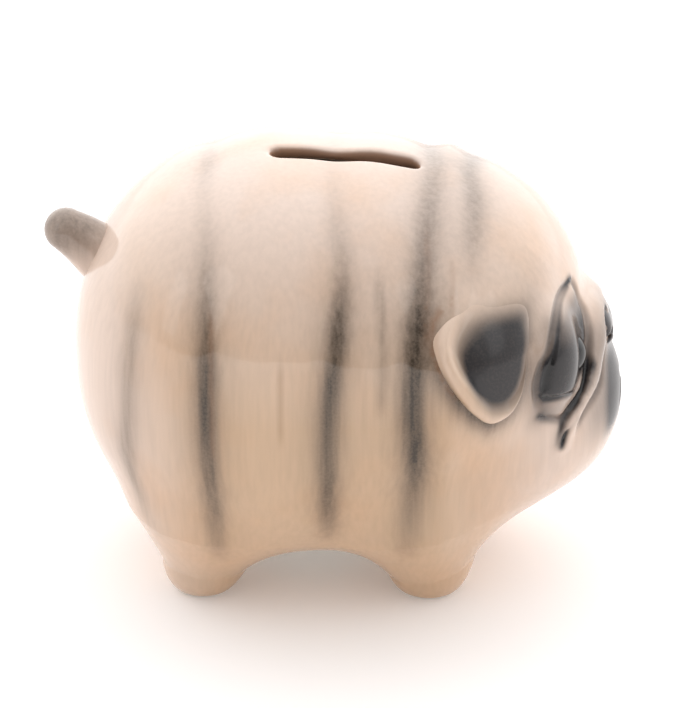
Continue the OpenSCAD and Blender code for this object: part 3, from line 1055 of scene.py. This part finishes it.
def glazed_earthenware(name):
    """Clear gloss glaze over cream body slip and sprayed stains, read from the point values, with painted
    shade in the coats and the cream painted paler on top and at the ends.
    """
    finish, tree, shader, place = blank_finish(name)
    along, _, height = add(tree, "ShaderNodeSeparateXYZ", sockets={0: place}).outputs
    coat = {n: add(tree, "ShaderNodeAttribute", {"attribute_name": n}).outputs["Fac"]
            for n in ("stripe", "smoke", "warm", "bare")}
    mottle = noise(tree, place, MOTTLE_MM, 3.0)
    streak = noise(tree, place, STREAK_MM, 3.0, DRIP_MM)
    spray = noise(tree, place, SPRAY_MM, 2.0)
    ripple = noise(tree, place, RIPPLE_MM, 2.0)

    # Painted light: the cream turns paler towards the top and towards both ends of the body, where more
    # light falls, and stays darker low on the flanks
    ends = spread(tree, number(tree, "ABSOLUTE", along, 0.0), 0.030, 0.062, 0.0, 0.85)
    pale = number(tree, "MAXIMUM", spread(tree, height, 0.070, 0.126), ends)
    cream = mix_colours(tree, pale, CREAM_LOW, CREAM_PAINTED_TOP_LIGHT)
    cream = mix_colours(tree, spread(tree, mottle, 0.45, 0.75, 0.0, 0.35), cream, CREAM_WARM)
    cream = mix_colours(tree, spread(tree, streak, 0.35, 0.75, 0.0, 0.07), cream, SLIP_BROWN)
    # The grey-brown coat: sprayed stripes and painted shade round the ears, broken up by the streaks
    broken = number(tree, "MULTIPLY", coat["stripe"], spread(tree, streak, 0.3, 0.7, 0.9, 1.08))
    grainy = number(tree, "MULTIPLY", broken, spread(tree, spray, 0.3, 0.7, 0.95, 1.05), clamp=True)
    colour = mix_colours(tree, grainy, cream, SLIP_BROWN)
    colour = mix_colours(tree, coat["warm"], colour, SEAM_BROWN)
    # The black coat: black slip, and painted shade in the face's creases and hollows
    smoke = number(tree, "MULTIPLY", coat["smoke"], spread(tree, spray, 0.3, 0.7, 0.98, 1.01), clamp=True)
    colour = mix_colours(tree, spread(tree, smoke, 0.0, 0.85), colour, SLIP_BLACK)
    colour = mix_colours(tree, spread(tree, smoke, 0.87, 0.99), colour, SLIP_DEEP)
    colour = mix_colours(tree, coat["bare"], colour, BISCUIT)
    tree.links.new(colour, shader.inputs["Base Color"])

    dull = number(tree, "MAXIMUM", spread(tree, coat["bare"], 0.0, 1.0, GLOSSY, BISCUIT_ROUGH),
                  spread(tree, coat["smoke"], 0.0, 1.0, GLOSSY, BLACK_ROUGH))
    tree.links.new(dull, shader.inputs["Roughness"])
    shader.inputs["IOR"].default_value = 1.5
    unlevel(tree, shader, ripple, 0.001, 0.08)
    return finish


body_glaze = glazed_earthenware("cream_glaze_over_slip")
ear_glaze = glazed_earthenware("ear_glaze_over_slip")
for piece, finish in ((casting_piece, body_glaze), (right_ear, ear_glaze), (left_ear, ear_glaze)):
    piece.data.materials.append(finish)
print("cream is", [round(c, 3) for c in linear(CREAM_LOW)[:3]], "in linear light")

# %% [markdown]
# The eyes and the nose are dipped in a black iron glaze. Black glaze is never evenly black:
# it runs thin and goes brown where the clay is sharp; here the brown thin places are laid out
# by a slow noise.

# %% Black glaze
def black_iron_glaze(name, thick, thin_colour):
    """Near-black gloss glaze with brown thin places about 4 mm across."""
    finish, tree, shader, place = blank_finish(name)
    thin = spread(tree, noise(tree, place, 4.0, 3.0), 0.5, 0.8, 0.0, 0.6)
    tree.links.new(mix_colours(tree, thin, thick, thin_colour), shader.inputs["Base Color"])
    shader.inputs["Roughness"].default_value = 0.05
    shader.inputs["IOR"].default_value = 1.52
    unlevel(tree, shader, noise(tree, place, 6.0, 1.0), 0.001, 0.04)
    return finish


eye_glaze = black_iron_glaze("black_iron_glaze", "#0D0C0D", "#2A211C")
nose_glaze = black_iron_glaze("thinned_iron_glaze", "#3A3536", "#4A3F38")
for piece, finish in ((left_eye, eye_glaze), (right_eye, eye_glaze), (nose, nose_glaze)):
    piece.data.materials.append(finish)
print("black glaze tree:", len(eye_glaze.node_tree.nodes), "nodes")

# %% [markdown]
# ## The tail
#
# The roll leaves the rump upwards and back, bends to level and ends round. Its root swells a
# little where the slip that holds it was smoothed over.

# %% Sweep the tail
TAIL_LINE = [(-61, 0, 91), (-67.5, 0, 96.4), (-72.6, -0.3, 100.8), (-77.2, -0.8, 104.2)]
TAIL_ROOT_R, TAIL_TIP_R = 9.2, 6.3
TAIL_FLARE, TAIL_TUCK = 0.3, 3.0


def tail_radii(n):
    """The roll's radius at n places along it."""
    t = np.linspace(0, 1, n)
    taper = TAIL_ROOT_R + (TAIL_TIP_R - TAIL_ROOT_R) * t
    return taper + TAIL_FLARE * bell(t - 0.3, 0.2) - TAIL_TUCK * ramp(t, 0.32, 0)


def tail_chain(n=30, cap=12):
    """The tail's line with the radius at each point, ended by half a ball."""
    line = path_points(TAIL_LINE, n)
    radii = tail_radii(n)
    run = line[-1] - line[-2]
    run = run / np.linalg.norm(run)
    for i in range(1, cap + 1):
        a = math.radians(90 * i / cap)
        line = np.vstack([line, line[n - 1] + run * radii[n - 1] * math.sin(a)])
        radii = np.append(radii, max(radii[n - 1] * math.cos(a), 0.004))
    return line, radii


tail_line, radii = tail_chain()
tail = run_tree(chain("tail_roll", tail_line, radii), sweep, Sides=64, Weld=0.00002, Finish=body_glaze)
tail_points = mesh_points(tail)
tail_share = off_path(tail_points, TAIL_LINE)[1]
upper = ramp(tail_points[:, 2] - 0.55 * (tail_points[:, 0] + 75), 93, 105)
past_root = ramp(tail_share, 0.25, 0.5)
paint(tail, "stripe", layered(0.16 * past_root, 0.55 * upper * past_root))
for coat in ("smoke", "warm", "bare"):
    paint(tail, coat, np.zeros(len(tail_points)))
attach(tail, "bank")
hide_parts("tail")
print("tail from", tail_points.min(0).round(1), "to", tail_points.max(0).round(1), "mm")

# %% [markdown]
# ## The rubber bung
#
# The bung is moulded in soft off-white rubber: a flange that hides in the recess, with three
# raised rings on its underside, a groove that the edge of the clay snaps into, a bead above it
# and a bar to pull it by. Rubber is matt and a little waxy, so its roughness is about 0.5.

# %% Rubber
def moulded_rubber(name):
    """Soft moulded rubber: matt, faintly translucent, with a fine mould texture."""
    finish, tree, shader, place = blank_finish(name)
    handled = spread(tree, noise(tree, place, 9.0, 3.0), 0.4, 0.8, 0.0, 0.5)
    tree.links.new(mix_colours(tree, handled, "#E7E4DA", "#D3CCBC"), shader.inputs["Base Color"])
    shader.inputs["Roughness"].default_value = 0.5
    shader.inputs["IOR"].default_value = 1.52
    shader.inputs["Subsurface Weight"].default_value = 0.1
    shader.inputs["Subsurface Scale"].default_value = 0.002
    unlevel(tree, shader, noise(tree, place, 0.5, 1.0), 0.0002, 0.15)
    return finish


rubber = moulded_rubber("moulded_rubber")

# %% Turn the bung
FLANGE_R, FLANGE_LOW, BEAD_R, NECK_R = RECESS_R - 0.5, 10.0, HOLE_R - 0.05, HOLE_R - 1.25
RING_Z, BUNG_TOP, ROUND = 17.0, 20.5, 0.45


def eased(points, ease, steps=4):
    """A line through points with every inner corner turned into a small curve."""
    out = [points[0]]
    for a, b, c in zip(points, points[1:], points[2:]):
        a, b, c = (np.array(v, float) for v in (a, b, c))
        first = b + (a - b) / np.linalg.norm(a - b) * min(ease, np.linalg.norm(a - b) * 0.45)
        last = b + (c - b) / np.linalg.norm(c - b) * min(ease, np.linalg.norm(c - b) * 0.45)
        for i in range(steps + 1):
            t = i / steps
            out.append(tuple((1 - t) ** 2 * first + 2 * t * (1 - t) * b + t * t * last))
    return out + [points[-1]]


UNDERSIDE = FLANGE_LOW + 0.3
half_section = [(0, UNDERSIDE)]
for ring_r in (4.5, 8.5, 12.5):
    half_section += [(ring_r - 0.9, UNDERSIDE), (ring_r - 0.5, FLANGE_LOW),
                     (ring_r + 0.5, FLANGE_LOW), (ring_r + 0.9, UNDERSIDE)]
half_section += [(FLANGE_R - 2.4, UNDERSIDE), (FLANGE_R - 1.6, FLANGE_LOW), (FLANGE_R, FLANGE_LOW + 0.9),
                 (FLANGE_R, RECESS_Z), (BEAD_R - 0.1, RECESS_Z), (NECK_R, RECESS_Z + 1), (NECK_R, RING_Z),
                 (BEAD_R, RING_Z + 1), (BEAD_R, RING_Z + 2), (NECK_R, BUNG_TOP), (NECK_R - 2.5, BUNG_TOP),
                 (NECK_R - 3.5, BUNG_TOP - 3.5), (0, BUNG_TOP - 3.5)]
CORE = 1.0
section_line = eased(half_section, ROUND)
bung = chain("rubber_bung", [(r - CORE, -z, 0) for r, z in section_line], [1.0] * len(section_line))
run_tree(bung, lathe, Steps=96, Core=CORE * MM, Weld=0.000004, Finish=rubber)
lathe_points = mesh_points(bung)
print("turned bung, before it is moved:", lathe_points.min(0).round(2), lathe_points.max(0).round(2))

# %% Pull bar
BAR_LONG, BAR_WIDE, BAR_HIGH, BAR_MID_Z, BAR_ROUND = 26, 5, 4.8, 8.9, 1.3
bar = bmesh.new()
bar.from_mesh(bung.data)
for v in bar.verts:
    v.co.x += HOLE_X * MM
box = bmesh.ops.create_cube(bar, size=1.0)["verts"]
for v in box:
    v.co = (HOLE_X * MM + v.co.x * BAR_LONG * MM, v.co.y * BAR_WIDE * MM,
            (BAR_MID_Z + v.co.z * BAR_HIGH) * MM)
edges = list({e for v in box for e in v.link_edges})
bmesh.ops.bevel(bar, geom=edges, offset=BAR_ROUND * MM, segments=5, profile=0.5, affect="EDGES")
bmesh.ops.recalc_face_normals(bar, faces=bar.faces)
bar.to_mesh(bung.data)
bar.free()
bung.data.shade_smooth()
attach(bung, "bung")
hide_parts("stopper")
print("bung:", mesh_points(bung).min(0).round(2), mesh_points(bung).max(0).round(2), "mm")

# %% [markdown]
# ## Floor, light and camera
#
# A glossy bank is lit by what it mirrors. It stands on white paper in a smooth tent of light,
# brighter overhead and behind it than towards the camera. A faint box overhead softens the
# shadow. Two tall strips at the sides give no light to matt colour and show only in the gloss.

# %% Studio floor
TARGET = (0.003, 0.0, 0.064)
FLOOR_HALF = 3.0
PAPER_GLOW = 0.12
floor_mesh = bpy.data.meshes.new("studio_floor")
floor_corners = [(x * FLOOR_HALF, y * FLOOR_HALF, 0) for x, y in ((-1, -1), (1, -1), (1, 1), (-1, 1))]
floor_mesh.from_pydata(floor_corners, [], [(0, 1, 2, 3)])
floor = bpy.data.objects.new("studio_floor", floor_mesh)
bpy.context.scene.collection.objects.link(floor)
paper = bpy.data.materials.new("white_paper_sweep")
paper.use_nodes = True
paper_shader = paper.node_tree.nodes["Principled BSDF"]
paper_shader.inputs["Base Color"].default_value = linear("#FBF8F7")
paper_shader.inputs["Roughness"].default_value = 0.9
paper_shader.inputs["Specular IOR Level"].default_value = 0.0
# The paper glows a little, so that the shadow stays light
paper_shader.inputs["Emission Color"].default_value = (1, 1, 1, 1)
paper_shader.inputs["Emission Strength"].default_value = PAPER_GLOW
floor_mesh.materials.append(paper)
print("floor", 2 * FLOOR_HALF, "m wide")


# %% Soft boxes
def aim(thing, towards):
    """Turns a light or camera to face a point."""
    x, y, z = (b - a for a, b in zip(thing.location, towards))
    thing.rotation_euler = (math.pi / 2 + math.atan2(z, math.hypot(x, y)), 0, math.atan2(-x, y))


def soft_box(name, place, size, radiance, towards=TARGET):
    """A rectangular light; its brightness is given as seen, so its power is worked out."""
    lamp = bpy.data.lights.new(name, "AREA")
    lamp.shape = "RECTANGLE"
    lamp.size, lamp.size_y = size
    lamp.energy = radiance * math.pi * size[0] * size[1]
    box = bpy.data.objects.new(name, lamp)
    box.location = place
    bpy.context.scene.collection.objects.link(box)
    aim(box, towards)
    return box


OVERHEAD_AT, OVERHEAD_WIDE, OVERHEAD_DEEP, OVERHEAD_SHARE = (0.0, 0.2, 1.7), 2.6, 2.2, 0.13
STRIP_OUT, STRIP_FRONT, STRIP_UP, STRIP_SHARE = 1.5, -1.1, 1.0, 0.8
STRIP_WIDE, STRIP_HIGH = 0.7, 1.5
# Boxes inside each other add up to one that is brightest in its middle and fades at its edge
for share in (1.0, 0.8, 0.6, 0.4):
    size = (OVERHEAD_WIDE * share, OVERHEAD_DEEP * share)
    soft_box(f"overhead_box_{share}", OVERHEAD_AT, size, OVERHEAD_SHARE)
# Two tall strips that only show in the gloss
for side in (-1, 1):
    for share in (1.0, 0.75, 0.5):
        place = (side * STRIP_OUT, STRIP_FRONT, STRIP_UP)
        size = (STRIP_WIDE * share, STRIP_HIGH * share)
        strip = soft_box(f"strip_{side}_{share}", place, size, STRIP_SHARE)
        strip.visible_diffuse = False
print("one faint box overhead, in four shares, and two strips, in three shares each")

# %% Light tent
TENT_NEAR, TENT_FAR, TENT_TOP, BACKDROP = 0.16, 1.75, 0.38, 1.05
world = bpy.data.worlds.new("light_tent")
world.use_nodes = True
bpy.context.scene.world = world
air = world.node_tree
way = add(air, "ShaderNodeTexCoord").outputs["Generated"]
_, inward, upward = add(air, "ShaderNodeSeparateXYZ", sockets={0: way}).outputs
sides = spread(air, inward, -0.9, 0.8, TENT_NEAR, TENT_FAR)
tent = number(air, "ADD", sides, spread(air, upward, 0.0, 1.0, 0.0, TENT_TOP))
seen = add(air, "ShaderNodeLightPath").outputs["Is Camera Ray"]
level = add(air, "ShaderNodeMapRange", {}, {"Value": seen, "To Min": tent, "To Max": BACKDROP})
backdrop = air.nodes["Background"]
backdrop.inputs["Color"].default_value = (1, 1, 1, 1)
air.links.new(level.outputs[0], backdrop.inputs["Strength"])
print("tent from", TENT_NEAR, "towards the camera to", TENT_FAR, "behind, and", TENT_TOP, "more overhead")

# %% Camera
CAMERA_AWAY, CAMERA_SIDE, CAMERA_UP, LENS = 1.1, 1.2, 28.0, 191.3
eye = bpy.data.objects.new("camera", bpy.data.cameras.new("camera"))
side, up = math.radians(CAMERA_SIDE), math.radians(CAMERA_UP)
eye.location = (TARGET[0] + CAMERA_AWAY * math.sin(side) * math.cos(up),
                TARGET[1] - CAMERA_AWAY * math.cos(side) * math.cos(up),
                TARGET[2] + CAMERA_AWAY * math.sin(up))
aim(eye, TARGET)
eye.data.lens = LENS
eye.data.clip_start = 0.01
bpy.context.scene.collection.objects.link(eye)
bpy.context.scene.camera = eye
bpy.context.scene.view_settings.view_transform = "Standard"
print("camera at", [round(c, 3) for c in eye.location])
